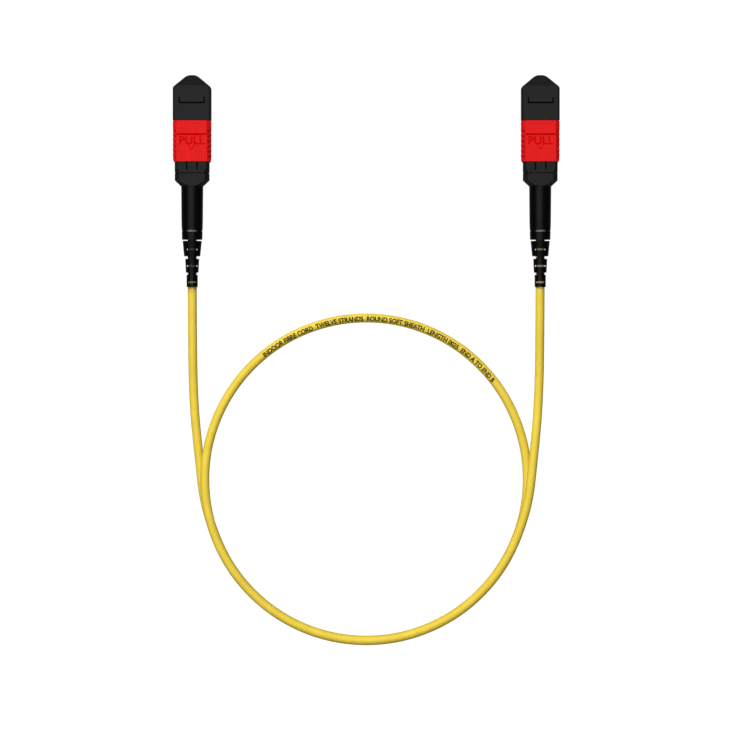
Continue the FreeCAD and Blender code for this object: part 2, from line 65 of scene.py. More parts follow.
class Wire:
    def __init__(self, tree, socket=None):
        self.tree = tree
        self.socket = socket

    def node(self, kind, settings=None, links=None, out=0):
        made = self.tree.nodes.new(kind)
        for name, value in (settings or {}).items():
            if name == "stops":
                while len(made.color_ramp.elements) < len(value):
                    made.color_ramp.elements.new(0.5)
                for element, (place, colour) in zip(made.color_ramp.elements, value):
                    element.position = place
                    element.color = (*colour, 1.0)
            elif name == "interpolation":
                made.color_ramp.interpolation = value
            else:
                setattr(made, name, value)
        for name, value in (links or {}).items():
            if isinstance(value, Wire):
                self.tree.links.new(value.socket, made.inputs[name])
            else:
                made.inputs[name].default_value = value
        return Wire(self.tree, made.outputs[out])

    def maths(self, operation, *values):
        return self.node("ShaderNodeMath", {"operation": operation}, dict(enumerate(values)))

    def __add__(self, other):
        return self.maths("ADD", self, other)

    def __radd__(self, other):
        return self.maths("ADD", other, self)

    def __sub__(self, other):
        return self.maths("SUBTRACT", self, other)

    def __rsub__(self, other):
        return self.maths("SUBTRACT", other, self)

    def __mul__(self, other):
        return self.maths("MULTIPLY", self, other)

    def __rmul__(self, other):
        return self.maths("MULTIPLY", other, self)

    def __truediv__(self, other):
        return self.maths("DIVIDE", self, other)

    def __rtruediv__(self, other):
        return self.maths("DIVIDE", other, self)


def feed(shader, name, wire):
    wire.tree.links.new(wire.socket, shader.inputs[name])


def axisOf(start, vector, axis):
    return start.node("ShaderNodeSeparateXYZ", {}, {0: vector}, axis)


def joinVector(start, x, y, z):
    return start.node("ShaderNodeCombineXYZ", {}, {"X": x, "Y": y, "Z": z})


def vectorMaths(start, operation, *values):
    return start.node("ShaderNodeVectorMath", {"operation": operation}, dict(enumerate(values)))


def scaledVector(start, vector, factor):
    return start.node("ShaderNodeVectorMath", {"operation": "SCALE"}, {0: vector, "Scale": factor})


def objectPlace(start):
    return start.node("ShaderNodeTexCoord", out="Object")


def noise(start, place, scale, detail, roughness):
    return start.node("ShaderNodeTexNoise", {},
                      {"Vector": place, "Scale": scale, "Detail": detail, "Roughness": roughness}, "Fac")


def mixColour(start, share, first, second):
    tones = [(*tone, 1.0) if isinstance(tone, tuple) else tone for tone in (first, second)]
    return start.node("ShaderNodeMix", {"data_type": "RGBA"}, {0: share, 6: tones[0], 7: tones[1]}, 2)


# a value's band stretched to run from one new value to another, and held there outside the band
def remap(start, value, band, newLow=0.0, newHigh=1.0):
    return start.node("ShaderNodeMapRange", {"clamp": True},
                      {"Value": value, "From Min": band[0], "From Max": band[1],
                       "To Min": newLow, "To Max": newHigh})


def bump(start, height, distance):
    return start.node("ShaderNodeBump", {},
                      {"Height": height, "Distance": distance, "Strength": 1.0}, "Normal")


def newMaterial(name):
    material = bpy.data.materials.new(name)
    material.use_nodes = True
    tree = material.node_tree
    return material, tree.nodes["Principled BSDF"], Wire(tree)


# the camera, straight above; sizes in mm, the clip range in m

viewFromAbove = {
    "centre": (-0.4, -61.25, 4.6), "distance": 1390.0, "span": 243.33, "sensor": 36.0, "clip": (0.01, 20.0),
}


def addCamera(spec):
    data = bpy.data.cameras.new("viewFromAbove")
    data.sensor_width = spec["sensor"]
    data.lens = spec["sensor"] * spec["distance"] / spec["span"]
    data.clip_start, data.clip_end = spec["clip"]
    camera = newObject("viewFromAbove", data)
    x, y, z = spec["centre"]
    camera.location = Vector((x, y, z + spec["distance"])) * mm
    scene.camera = camera


# the studio: a paper sweep (m, its drop and weld in mm) in a room that is dark along the horizon

studio = {
    "sweepRadius": 2.6, "coveRadius": 0.8, "wallHeight": 2.4, "coveSteps": 8, "turnSteps": 64,
    "floorDrop": 0.15, "weld": 0.1,
    "paper": (0.93, 0.93, 0.93), "paperRoughness": 0.95, "paperGlow": 0.92,
    "roomBelow": 0.25, "roomEdge": 0.06, "roomAbove": 0.25,
    "lowerBand": (-0.55, -0.1), "upperBand": (0.25, 0.8),     # heights where the room's light changes
}


# flat floor, cove and wall, turned about the vertical
def sweepMesh(spec):
    drop, cove, flat = -spec["floorDrop"] * mm, spec["coveRadius"], spec["sweepRadius"]
    profile = [(0.0, drop), (flat, drop)]
    for step in range(1, spec["coveSteps"] + 1):
        turn = math.radians(90.0 * step / spec["coveSteps"])
        profile.append((flat + cove * math.sin(turn), drop + cove * (1.0 - math.cos(turn))))
    profile.append((flat + cove, drop + spec["wallHeight"]))
    sweep = bmesh.new()
    points = [sweep.verts.new((x, 0.0, z)) for x, z in profile]
    edges = [sweep.edges.new(pair) for pair in zip(points, points[1:])]
    bmesh.ops.spin(sweep, geom=points + edges, axis=(0, 0, 1), cent=(0, 0, 0), angle=2 * math.pi,
                   steps=spec["turnSteps"])
    bmesh.ops.remove_doubles(sweep, verts=sweep.verts, dist=spec["weld"] * mm)
    bmesh.ops.recalc_face_normals(sweep, faces=sweep.faces)
    mesh = bpy.data.meshes.new("paperSweep")
    sweep.to_mesh(mesh)
    sweep.free()
    mesh.shade_smooth()
    return mesh


def addPaper(spec):
    paper, shader = newMaterial("palePaper")[:2]
    fixed = {
        "Base Color": (*spec["paper"], 1.0), "Roughness": spec["paperRoughness"], "Specular IOR Level": 0.0,
        "Emission Color": white, "Emission Strength": spec["paperGlow"],
    }
    for name, value in fixed.items():
        shader.inputs[name].default_value = value
    sweep = newObject("paperSweep", sweepMesh(spec))
    sweep.data.materials.append(paper)
    sweep.visible_diffuse = False      # the paper's own glow stays off the plugs and the cable
    sweep.visible_glossy = False
    return sweep


def addRoom(spec):
    world = bpy.data.worlds.new("softRoom")
    world.use_nodes = True
    room = world.node_tree.nodes["Background"]
    room.inputs["Color"].default_value = white
    start = Wire(world.node_tree)
    height = axisOf(start, start.node("ShaderNodeTexCoord", out="Generated"), "Z")
    lower = remap(start, height, spec["lowerBand"], spec["roomBelow"], spec["roomEdge"])
    upper = remap(start, height, spec["upperBand"], 0.0, spec["roomAbove"] - spec["roomEdge"])
    feed(room, "Strength", lower + upper)
    scene.world = world


addCamera(viewFromAbove)
paperSweep = addPaper(studio)
addRoom(studio)
scene.view_settings.view_transform = "Standard"
print("camera and studio set")


# finishes: tones, noise scales per metre, depths in mm

texture = {
    "cloudDetail": 3.0, "cloudRoughness": 0.5, "cloudShare": 0.7, "grainDetail": 2.0, "grainRoughness": 0.6,
    "narrowBand": (0.35, 0.65), "wideBand": (0.3, 0.7),     # the values of a noise that are made use of
}


# painted shade on a cord's ends, where the boots cover them and a little past them, darker at the first end
# than at the last; its map runs from end to end
def paintedBootShade(start, tone, spec):
    share = axisOf(start, start.node("ShaderNodeTexCoord", out="UV"), "X")
    nearest = start.maths("MINIMUM", share, 1.0 - share)
    unshaded = remap(start, nearest, (spec["inside"], spec["outside"]))
    shadeTone = mixColour(start, remap(start, share, spec["changeover"]), spec["firstEndShade"], spec["lastEndShade"])
    return mixColour(start, unshaded * unshaded * unshaded, shadeTone, tone)


# a moulded plastic or rubber: cloudy tone, fine grain and a matching gloss, and painted shade where its
# spec asks for it
def mouldedFinish(name, spec):
    material, shader, start = newMaterial(name)
    place = objectPlace(start)
    cloud = noise(start, place, spec["cloudScale"], texture["cloudDetail"], texture["cloudRoughness"])
    grain = noise(start, place, spec["grainScale"], texture["grainDetail"], texture["grainRoughness"])
    mottle = cloud * texture["cloudShare"] + grain * (1.0 - texture["cloudShare"])
    tone = mixColour(start, remap(start, mottle, texture["narrowBand"]), spec["dark"], spec["light"])
    # painted shade on the cord where the boots cover it
    if "bootShade" in spec:
        tone = paintedBootShade(start, tone, spec["bootShade"])
    feed(shader, "Base Color", tone)
    feed(shader, "Roughness", remap(start, grain, texture["wideBand"], *spec["gloss"]))
    feed(shader, "Normal", bump(start, grain, spec["grainDepth"] * mm))
    shader.inputs["Specular IOR Level"].default_value = spec["specular"]
    return material


# drawn metal or yarn: streaks along one axis, and a gloss and a relief that follow them
def streakedFinish(name, spec):
    material, shader, start = newMaterial(name)
    drawn = start.node("ShaderNodeMapping", {}, {"Vector": objectPlace(start), "Scale": spec["stretch"]})
    streak = noise(start, drawn, spec["streakScale"], spec["detail"], spec["roughness"])
    share = remap(start, streak, spec["band"])
    feed(shader, "Base Color", mixColour(start, share, spec["dark"], spec["light"]))
    feed(shader, "Roughness", remap(start, streak, texture["wideBand"], *spec["gloss"]))
    feed(shader, "Normal", bump(start, streak, spec["streakDepth"] * mm))
    shader.inputs["Metallic"].default_value = spec["metallic"]
    return material


# twelve coated fibres, each in the colour of its place in the ribbon
def fibreFinish(name, spec):
    material, shader, start = newMaterial(name)
    place = start.node("ShaderNodeAttribute", {"attribute_name": "fibrePlace"}, out="Fac")
    stops = [(index / len(spec["colours"]), colour) for index, colour in enumerate(spec["colours"])]
    ramp = start.node("ShaderNodeValToRGB", {"stops": stops, "interpolation": "CONSTANT"}, {"Fac": place})
    feed(shader, "Base Color", ramp)
    shader.inputs["Roughness"].default_value = spec["roughness"]
    return material


moulded = {
    "capBlack": {"dark": (0.0112, 0.0112, 0.0114), "light": (0.0138, 0.0138, 0.0140), "cloudScale": 420.0,
                 "grainScale": 9000.0, "grainDepth": 0.008, "gloss": (0.38, 0.46), "specular": 0.063},
    "housingBlack": {"dark": (0.0105, 0.0105, 0.0107), "light": (0.0130, 0.0130, 0.0132),
                     "cloudScale": 420.0, "grainScale": 9000.0, "grainDepth": 0.008,
                     "gloss": (0.38, 0.46), "specular": 0.067},
    # painted shade: a near-black finish for the faces inside grooves and slits
    "grooveBlack": {"dark": (0.0010, 0.0010, 0.0010), "light": (0.0018, 0.0018, 0.0018),
                    "cloudScale": 900.0, "grainScale": 9000.0, "grainDepth": 0.006,
                    "gloss": (0.7, 0.8), "specular": 0.02},
    "bootBlack": {"dark": (0.0010, 0.0010, 0.0010), "light": (0.0018, 0.0018, 0.0018), "cloudScale": 500.0,
                  "grainScale": 7000.0, "grainDepth": 0.005, "gloss": (0.30, 0.38), "specular": 0.078},
    "sleeveRed": {"dark": (0.775, 0.0102, 0.0110), "light": (0.84, 0.0128, 0.0136), "cloudScale": 380.0,
                  "grainScale": 8000.0, "grainDepth": 0.006, "gloss": (0.44, 0.54), "specular": 0.04},
    # painted shade: darker reds for the sunk line and for the word and arrow
    "engravedRed": {"dark": (0.555, 0.0006, 0.001), "light": (0.615, 0.0012, 0.0016), "cloudScale": 900.0,
                    "grainScale": 8000.0, "grainDepth": 0.008, "gloss": (0.6, 0.7), "specular": 0.02},
    "letterRed": {"dark": (0.65, 0.0010, 0.0012), "light": (0.715, 0.0016, 0.0020), "cloudScale": 900.0,
                  "grainScale": 8000.0, "grainDepth": 0.008, "gloss": (0.6, 0.7), "specular": 0.02},
    # painted shade: a darker red for the sleeve's grip grooves
    "gripRed": {"dark": (0.64, 0.004, 0.005), "light": (0.70, 0.006, 0.007), "cloudScale": 900.0,
                "grainScale": 8000.0, "grainDepth": 0.008, "gloss": (0.5, 0.6), "specular": 0.04},
    "jacketYellow": {"dark": (0.72, 0.53, 0.045), "light": (0.80, 0.605, 0.056), "cloudScale": 160.0,
                     "grainScale": 5200.0, "grainDepth": 0.005, "gloss": (0.46, 0.58), "specular": 0.22,
                     # painted shade where the boots cover the cord: dark at the first end, lighter at the
                     # last
                     "bootShade": {"firstEndShade": (0.115, 0.1, 0.045), "lastEndShade": (0.62, 0.52, 0.23),
                                   "inside": 0.006, "outside": 0.0145, "changeover": (0.4, 0.6)}},
    "legendInk": {"dark": (0.02, 0.014, 0.005), "light": (0.05, 0.036, 0.011), "cloudScale": 2600.0,
                  "grainScale": 9000.0, "grainDepth": 0.003, "gloss": (0.5, 0.65), "specular": 0.15},
    "ferruleResin": {"dark": (0.055, 0.05, 0.045), "light": (0.085, 0.078, 0.07), "cloudScale": 1200.0,
                     "grainScale": 16000.0, "grainDepth": 0.004, "gloss": (0.4, 0.52), "specular": 0.3},
    "fibreBootBlack": {"dark": (0.012, 0.012, 0.012), "light": (0.02, 0.02, 0.02), "cloudScale": 900.0,
                       "grainScale": 9000.0, "grainDepth": 0.006, "gloss": (0.55, 0.7), "specular": 0.25},
    "fibreGlass": {"dark": (0.62, 0.66, 0.68), "light": (0.78, 0.82, 0.84), "cloudScale": 5000.0,
                   "grainScale": 20000.0, "grainDepth": 0.001, "gloss": (0.08, 0.16), "specular": 0.5},
}
drawnMetal = {"detail": 3.0, "roughness": 0.6, "band": texture["wideBand"], "metallic": 1.0}
streaked = {
    "crimpMetal": {"dark": (0.3, 0.3, 0.296), "light": (0.38, 0.38, 0.375), "stretch": (1.0, 0.08, 1.0),
                   "streakScale": 5200.0, "streakDepth": 0.004, "gloss": (0.68, 0.78), **drawnMetal},
    "spacerSteel": {"dark": (0.46, 0.46, 0.47), "light": (0.62, 0.62, 0.63), "stretch": (0.15, 1.0, 1.0),
                    "streakScale": 4200.0, "streakDepth": 0.005, "gloss": (0.28, 0.42), **drawnMetal},
    "springSteel": {"dark": (0.5, 0.5, 0.52), "light": (0.68, 0.68, 0.7), "stretch": (1.0, 0.3, 1.0),
                    "streakScale": 7000.0, "streakDepth": 0.003, "gloss": (0.2, 0.34), **drawnMetal},
    "yarnGold": {"dark": (0.5, 0.33, 0.06), "light": (0.85, 0.66, 0.2), "stretch": (1.0, 0.04, 1.0),
                 "streakScale": 9000.0, "streakDepth": 0.02, "gloss": (0.45, 0.7),
                 "detail": 4.0, "roughness": 0.65, "band": texture["narrowBand"], "metallic": 0.0},
}
fibreCoating = {
    "roughness": 0.3,
    "colours": [
        (0.02, 0.12, 0.62), (0.85, 0.25, 0.02), (0.02, 0.35, 0.06), (0.16, 0.06, 0.02),
        (0.2, 0.22, 0.24), (0.85, 0.85, 0.83), (0.65, 0.02, 0.02), (0.015, 0.015, 0.015),
        (0.8, 0.6, 0.03), (0.22, 0.03, 0.4), (0.8, 0.25, 0.35), (0.08, 0.6, 0.6),
    ],
}
materials = {name: mouldedFinish(name, spec) for name, spec in moulded.items()}
materials.update({name: streakedFinish(name, spec) for name, spec in streaked.items()})
materials["fibreCoating"] = fibreFinish("fibreCoating", fibreCoating)
print("finishes made:", len(materials))


# pieces

def addPiece(name, mesh, body, replaced=()):
    piece = newObject(name, mesh)
    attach(piece, body)
    if replaced:
        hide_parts(*replaced)
    return piece


# an object's finished shape as a plain mesh; the mesh that was used up goes, which frees its name
def bakedMesh(holder, name, used=None):
    view = bpy.context.evaluated_depsgraph_get()
    mesh = bpy.data.meshes.new_from_object(holder.evaluated_get(view), preserve_all_data_layers=True,
                                           depsgraph=view)
    bpy.data.objects.remove(holder)
    if used:
        bpy.data.meshes.remove(used)
    mesh.name = name
    return mesh


skinJoin = {"gap": 0.0005, "flatAngle": 0.3}     # mm, degrees
smoothing = {"angle": 32.0, "faceWeight": 100}   # degrees, where a piece names no angle of its own
mouldCorners = {
    "radius": 0.07, "segments": 2, "weld": 0.001, "shortest": 0.8,     # mm
    "leastAngle": 35.0, "room": 2.5,     # degrees, and the free length beside a corner in radii
}


# a CAD piece's triangles joined into one skin, its flats made whole again
def joinedSkin(nodeName, name):
    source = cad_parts[nodeName].data
    mesh = bpy.data.meshes.new(name)
    mesh.from_pydata([v.co for v in source.vertices], [], [list(p.vertices) for p in source.polygons])
    skin = bmesh.new()
    skin.from_mesh(mesh)
    bmesh.ops.remove_doubles(skin, verts=skin.verts, dist=skinJoin["gap"] * mm)
    bmesh.ops.dissolve_limit(skin, angle_limit=math.radians(skinJoin["flatAngle"]), verts=skin.verts,
                             edges=skin.edges)
    skin.to_mesh(mesh)
    skin.free()
    return mesh


# a mould's long outer corners, where nothing small stands in the way, are picked for rounding
def pickCorners(mesh, spec):
    leastAngle = math.radians(spec["leastAngle"])
    leastRoom = spec["room"] * spec["radius"] * mm
    skin = bmesh.new()
    skin.from_mesh(mesh)
    weight = skin.edges.layers.float.new("bevel_weight_edge")
    for edge in skin.edges:
        if len(edge.link_faces) != 2 or edge.calc_length() < spec["shortest"] * mm:
            continue
        room = min(other.calc_length() for vert in edge.verts for other in vert.link_edges)
        if edge.calc_face_angle_signed() > leastAngle and room > leastRoom:
            edge[weight] = 1.0
    skin.to_mesh(mesh)
    skin.free()


# smooth where the surface runs on, with each corner's normal taken from its widest face
def smoothed(mesh, angle, corners=None):
    mesh.shade_smooth()
    mesh.set_sharp_from_angle(angle=math.radians(angle))
    if corners:
        pickCorners(mesh, corners)
    holder = newObject("holder", mesh)
    if corners:
        rounding = holder.modifiers.new("rounding", "BEVEL")
        rounding.limit_method = "WEIGHT"
        rounding.width = corners["radius"] * mm
        rounding.segments = corners["segments"]
        rounding.use_clamp_overlap = False
        weld = holder.modifiers.new("weld", "WELD")
        weld.merge_threshold = corners["weld"] * mm
    normals = holder.modifiers.new("normals", "WEIGHTED_NORMAL")
    normals.keep_sharp = True
    normals.weight = smoothing["faceWeight"]
    return bakedMesh(holder, mesh.name, mesh)


# geometry trees: named sizes in, one realised mesh with its finish out

def newTree(name, inputs):
    tree = bpy.data.node_groups.new(name, "GeometryNodeTree")
    tree.interface.new_socket("Geometry", in_out="INPUT", socket_type="NodeSocketGeometry")
    for label, kind in inputs.items():
        tree.interface.new_socket(label, in_out="INPUT", socket_type=f"NodeSocket{kind}")
    tree.interface.new_socket("Finish", in_out="INPUT", socket_type="NodeSocketMaterial")
    tree.interface.new_socket("Geometry", in_out="OUTPUT", socket_type="NodeSocketGeometry")
    entry = tree.nodes.new("NodeGroupInput")
    return tree, Wire(tree), {socket.name: Wire(tree, socket) for socket in entry.outputs if socket.name}


def closeTree(start, given, shape):
    whole = start.node("GeometryNodeRealizeInstances", {}, {"Geometry": shape})
    clad = start.node("GeometryNodeSetMaterial", {}, {"Geometry": whole, "Material": given["Finish"]})
    last = start.tree.nodes.new("NodeGroupOutput")
    start.tree.links.new(clad.socket, last.inputs["Geometry"])


# a tree's shape at these values, on a base mesh where the tree works on one
def grown(name, tree, values, base=None):
    base = base or bpy.data.meshes.new("base")
    holder = newObject(name, base)
    grow = holder.modifiers.new("grow", "NODES")
    grow.node_group = tree
    for item in tree.interface.items_tree:
        if item.item_type == "SOCKET" and item.in_out == "INPUT" and item.name in values:
            grow[item.identifier] = values[item.name]
    return bakedMesh(holder, name, base)


def roundTube(start, path, radius, count):
    ring = start.node("GeometryNodeCurvePrimitiveCircle", {}, {"Resolution": count, "Radius": radius})
    tube = start.node("GeometryNodeCurveToMesh", {},
                      {"Curve": path, "Profile Curve": ring, "Fill Caps": True})
    return start.node("GeometryNodeSetShadeSmooth", {}, {"Geometry": tube})


# a row of points along X, and a shape that stands on such a row centred on a place
def pointRow(start, given):
    step = joinVector(start, given["Pitch"], 0.0, 0.0)
    return start.node("GeometryNodeMeshLine", {"mode": "OFFSET"}, {"Count": given["Count"], "Offset": step})


def centredRow(start, given, shape, place):
    first = (given["Count"] - 1.0) * given["Pitch"] * -0.5
    corner = vectorMaths(start, "ADD", place, joinVector(start, first, 0.0, 0.0))
    return start.node("GeometryNodeTransform", {}, {"Geometry": shape, "Translation": corner})


def rearMiddle(low, high):
    return Vector(((low.x + high.x) / 2, low.y, (low.z + high.z) / 2))


# the cable: one smooth spline along the route's points; mm and degrees, its length in m

cable = {
    "diameter": 3.0, "length": 0.678, "order": 3, "spanSteps": 14, "ringSteps": 8,
    "loopRadius": 53.8, "loopCentreY": -99.35, "pointsPerTurn": 16, "firstAngle": 191.25,
    "loopHeights": [1.5] * 14 + [3.0, 4.5] + [4.6] * 8,
    "leftLeg": [(-58.0, -14.88, 4.6), (-58.0, -44.0, 4.6), (-57.75, -73.0, 1.5), (-55.85, -92.0, 1.5)],
    "rightLeg": [(55.85, -92.0, 4.5), (57.75, -73.0, 0.95), (58.0, -44.0, 4.6), (58.0, -14.88, 4.6)],
    "bootEnd": (-58.0, -35.25, 4.6),
}


def cableRoute(spec):
    step = 360.0 / spec["pointsPerTurn"]
    reach = spec["loopRadius"] / math.cos(math.radians(step / 2))
    loop = []
    for index, height in enumerate(spec["loopHeights"]):
        angle = math.radians(spec["firstAngle"] + index * step)
        loop.append((reach * math.cos(angle), spec["loopCentreY"] + reach * math.sin(angle), height))
    return [Vector(point) * mm for point in spec["leftLeg"] + loop + spec["rightLeg"]]


def routeCurve(name, route, spec):
    curve = bpy.data.curves.new(name, "CURVE")
    curve.dimensions = "3D"
    spline = curve.splines.new("NURBS")
    spline.points.add(len(route) - 1)
    for point, place in zip(spline.points, route):
        point.co = (*place, 1.0)
    spline.order_u = spec["order"]
    spline.use_endpoint_u = True
    curve.resolution_u = spec["spanSteps"]
    curve.twist_mode = "Z_UP"
    return curve


route = cableRoute(cable)
jacket = routeCurve("cableJacket", route, cable)
jacket.bevel_depth = cable["diameter"] / 2 * mm
jacket.bevel_resolution = cable["ringSteps"]
jacket.use_fill_caps = True
jacket.materials.append(materials["jacketYellow"])
cablePiece = addPiece("cableJacket", jacket, "trunk", ["cable"])
print("cable laid:", len(route), "points")


# the print along the jacket: letters with a rim, laid round it along the route; mm and degrees

legend = {
    "words": "INDOOR FIBRE CORD  TWELVE STRANDS  ROUND SOFT SHEATH  LENGTH 0025  END A TO END B",
    "length": 86.6, "letterHeight": 1.74, "startLength": 375.7, "middle": -10.0, "inkLift": 0.015,
    "rim": 0.088, "longestMitre": 1.6, "weld": 0.001, "cuts": 2,
}
letterSteps = 4     # on each curve of a letter's outline


def letteringMesh(name, words, width, height, bold=0.0, extrude=0.0):
    data = bpy.data.curves.new(name, "FONT")
    data.body = words
    data.offset = bold
    data.extrude = extrude
    data.resolution_u = letterSteps
    mesh = bakedMesh(newObject(name, data), name)
    low = [min(v.co[k] for v in mesh.vertices) for k in (0, 1)]
    high = [max(v.co[k] for v in mesh.vertices) for k in (0, 1)]
    for v in mesh.vertices:
        v.co.x = (v.co.x - low[0]) / (high[0] - low[0]) * width
        v.co.y = ((v.co.y - low[1]) / (high[1] - low[1]) - 0.5) * height
    return mesh


# flat letters grow outwards by a rim, so that no stroke folds over itself
def addRim(mesh, spec):
    skin = bmesh.new()
    skin.from_mesh(mesh)
    bmesh.ops.remove_doubles(skin, verts=skin.verts, dist=spec["weld"] * mm)
    bmesh.ops.dissolve_degenerate(skin, edges=skin.edges, dist=spec["weld"] * mm)
    outline = []
    outward = {}
    for edge in skin.edges:
        if not edge.is_boundary:
            continue
        loop = edge.link_loops[0]
        first, second = loop.vert, loop.link_loop_next.vert
        away = (second.co - first.co).cross(loop.face.normal).normalized()
        outline.append((first, second))
        for vert in (first, second):
            outward.setdefault(vert, []).append(away)
    outer = {}
    for vert, ways in outward.items():
        middle = sum(ways, Vector()).normalized()
        mitre = 1.0 / max(middle.dot(ways[0]), 1.0 / spec["longestMitre"])
        outer[vert] = skin.verts.new(vert.co + middle * mitre * (spec["rim"] * mm))
    for first, second in outline:
        skin.faces.new((second, first, outer[first], outer[second]))
    skin.to_mesh(mesh)
    skin.free()


def legendTree():
    tree, start, given = newTree("jacketLegend", {
        "Route": "Object", "Start Length": "Float", "Radius": "Float", "Middle": "Float", "Cuts": "Int"})
    path = start.node("GeometryNodeObjectInfo", {}, {"Object": given["Route"]}, "Geometry")
    fine = start.node("GeometryNodeSubdivideMesh", {}, {"Mesh": given["Geometry"], "Level": given["Cuts"]})
    place = start.node("GeometryNodeInputPosition")
    along = given["Start Length"] - axisOf(start, place, "X")
    spot = start.node("GeometryNodeSampleCurve", {"mode": "LENGTH"},
                      {"Curves": path, "Length": along}, "Position")
    tangent = Wire(tree, spot.socket.node.outputs["Tangent"])
    level = vectorMaths(start, "CROSS_PRODUCT", tangent, (0.0, 0.0, 1.0))
    outward = vectorMaths(start, "NORMALIZE", level)
    upward = vectorMaths(start, "CROSS_PRODUCT", outward, tangent)
    turn = axisOf(start, place, "Y") / given["Radius"] + given["Middle"]
    aside = scaledVector(start, outward, start.maths("SINE", turn) * given["Radius"])
    above = scaledVector(start, upward, start.maths("COSINE", turn) * given["Radius"])
    skin = vectorMaths(start, "ADD", spot, vectorMaths(start, "ADD", aside, above))
    closeTree(start, given, start.node("GeometryNodeSetPosition", {}, {"Geometry": fine, "Position": skin}))
    return tree


bothRims = 2 * legend["rim"] * mm
letters = letteringMesh("jacketLetters", legend["words"], legend["length"] * mm - bothRims,
                        legend["letterHeight"] * mm - bothRims)
addRim(letters, legend)
legendRoute = newObject("legendRoute", routeCurve("legendRoute", route, cable))
legendMesh = grown("jacketLegend", legendTree(), {
    "Route": legendRoute, "Start Length": legend["startLength"] * mm, "Cuts": legend["cuts"],
    "Middle": math.radians(legend["middle"]), "Radius": (cable["diameter"] / 2 + legend["inkLift"]) * mm,
    "Finish": materials["legendInk"],
}, letters)
bpy.data.objects.remove(legendRoute)
legendPiece = addPiece("jacketLegend", legendMesh, "trunk")
print("legend laid:", len(legendMesh.polygons), "faces")


# the plugs' rigid pieces, clad over their CAD shapes; what is sunk takes a darker finish as painted shade,
# and is found in boxes about a plug's axis, each from a near corner to a far one: mm aside, along, and
# above or below

shells = {
    "dust_cap": {
        "name": "capMoulding", "finish": "capBlack", "slot": "cap_plastic", "body": "cap",
        "smoothAngle": 21.0, "corners": mouldCorners,
        "sunk": {"grooveBlack": [((0.0, 25.75, 3.6), (4.32, 27.99, 4.19))]},
    },
    "plug_housing": {
        "name": "plugHousing", "finish": "housingBlack", "slot": "housing_plastic", "body": "trunk",
        "smoothAngle": 21.0, "corners": mouldCorners,
        "sunk": {"grooveBlack": [((1.5, 3.6, 2.88), (1.95, 7.9, 3.79))]},
    },
    "ferrule": {
        "name": "ferruleBlock", "finish": "ferruleResin", "slot": "ferrule_resin", "body": "ferrule_group",
    },
    "fibre_boot": {
        "name": "fibreBoot", "finish": "fibreBootBlack", "slot": "fibre_boot_rubber",
        "body": "ferrule_group",
    },
    "pin_spacer": {
        "name": "pinSpacer", "finish": "spacerSteel", "slot": "spacer_steel", "body": "ferrule_group",
    },
    "rear_body": {
        "name": "rearBody", "finish": "housingBlack", "slot": "housing_plastic", "body": "trunk",
        "corners": mouldCorners, "sunk": {"grooveBlack": [((0.0, 2.5, 0.0), (6.0, 9.0, 3.6))]},
    },
    "crimp_ring": {"name": "crimpRing", "finish": "crimpMetal", "slot": "crimp_metal", "body": "trunk"},
    "boot": {"name": "bendBoot", "finish": "bootBlack", "slot": "boot_rubber", "body": "trunk"},
}


def bodyName(side, body):
    return body if body == "trunk" else f"{side}_{body}"


# faces sunk into a plug's skin take a darker finish of their own, painted shade for the recess
def finishSkin(mesh, side, spec):
    mesh.materials.append(materials[spec["finish"]])
    for place, (finish, boxes) in enumerate(spec.get("sunk", {}).items(), 1):
        mesh.materials.append(materials[finish])
        for face in mesh.polygons:
            x, y, z = face.center / mm
            spot = (abs(x - sides[side]), y, abs(z - axisHeight))
            if spot[0] + spot[2] > spec.get("sunkLimit", math.inf):
                continue
            for low, high in boxes:
                if all(a <= value <= b for a, value, b in zip(low, spot, high)):
                    face.material_index = place


for side in sides:
    for node, spec in shells.items():
        mesh = joinedSkin(f"{side}_{node}", f"{side}_{spec['name']}")
        finishSkin(mesh, side, spec)
        skin = smoothed(mesh, spec.get("smoothAngle", smoothing["angle"]), spec.get("corners"))
        addPiece(skin.name, skin, bodyName(side, spec["body"]), [f"{side}_{node}"])
print("shells clad:", len(sides) * len(shells))


# a row of boxes, each a pitch further forward
def steppedBoxes(low, high, pitch, count):
    steps = [(0.0, index * pitch, 0.0) for index in range(count)]
    return [[tuple(a + b for a, b in zip(corner, step)) for corner in (low, high)] for step in steps]


# the pull sleeve, with a word, an arrow and a line sunk into both broad faces, their cut faces painted
# darker red as shade; mm

marking = {
    "word": "PULL", "wordWidth": 8.5, "wordHeight": 2.77, "wordMiddle": 13.37, "wordShift": 0.13,
    "bold": 0.022, "depth": 0.16, "weld": 0.001,
    "arrowWidth": 2.4, "arrowTop": 11.95, "arrowTip": 10.05, "arrowStroke": 0.27, "arrowShift": -0.1,
    "lineWidth": 9.86, "lineRear": 15.14, "lineFront": 15.72, "lineDepth": 0.24, "lineReach": 0.4,
    "faceHeight": 9.0,       # of the sleeve's broad upper face
    "finish": "sleeveRed",
    # the grip grooves take the darker red as painted shade
    "sunk": {"gripRed": steppedBoxes((5.2, 7.43, 1.19), (6.31, 8.27, 4.39), pitch=1.7, count=6)},
    "sunkLimit": 9.46,       # aside plus above, beyond which a face isn't sunk
}


def arrowOutline(spec):
    half, top, tip = spec["arrowWidth"] / 2, spec["arrowTop"], spec["arrowTip"]
    slope = (top - tip) / half
    drop = spec["arrowStroke"] * math.hypot(1.0, slope)
    return [(-half, top), (0.0, tip), (half, top),
            (half - drop / slope, top), (0.0, tip + drop), (-half + drop / slope, top)]


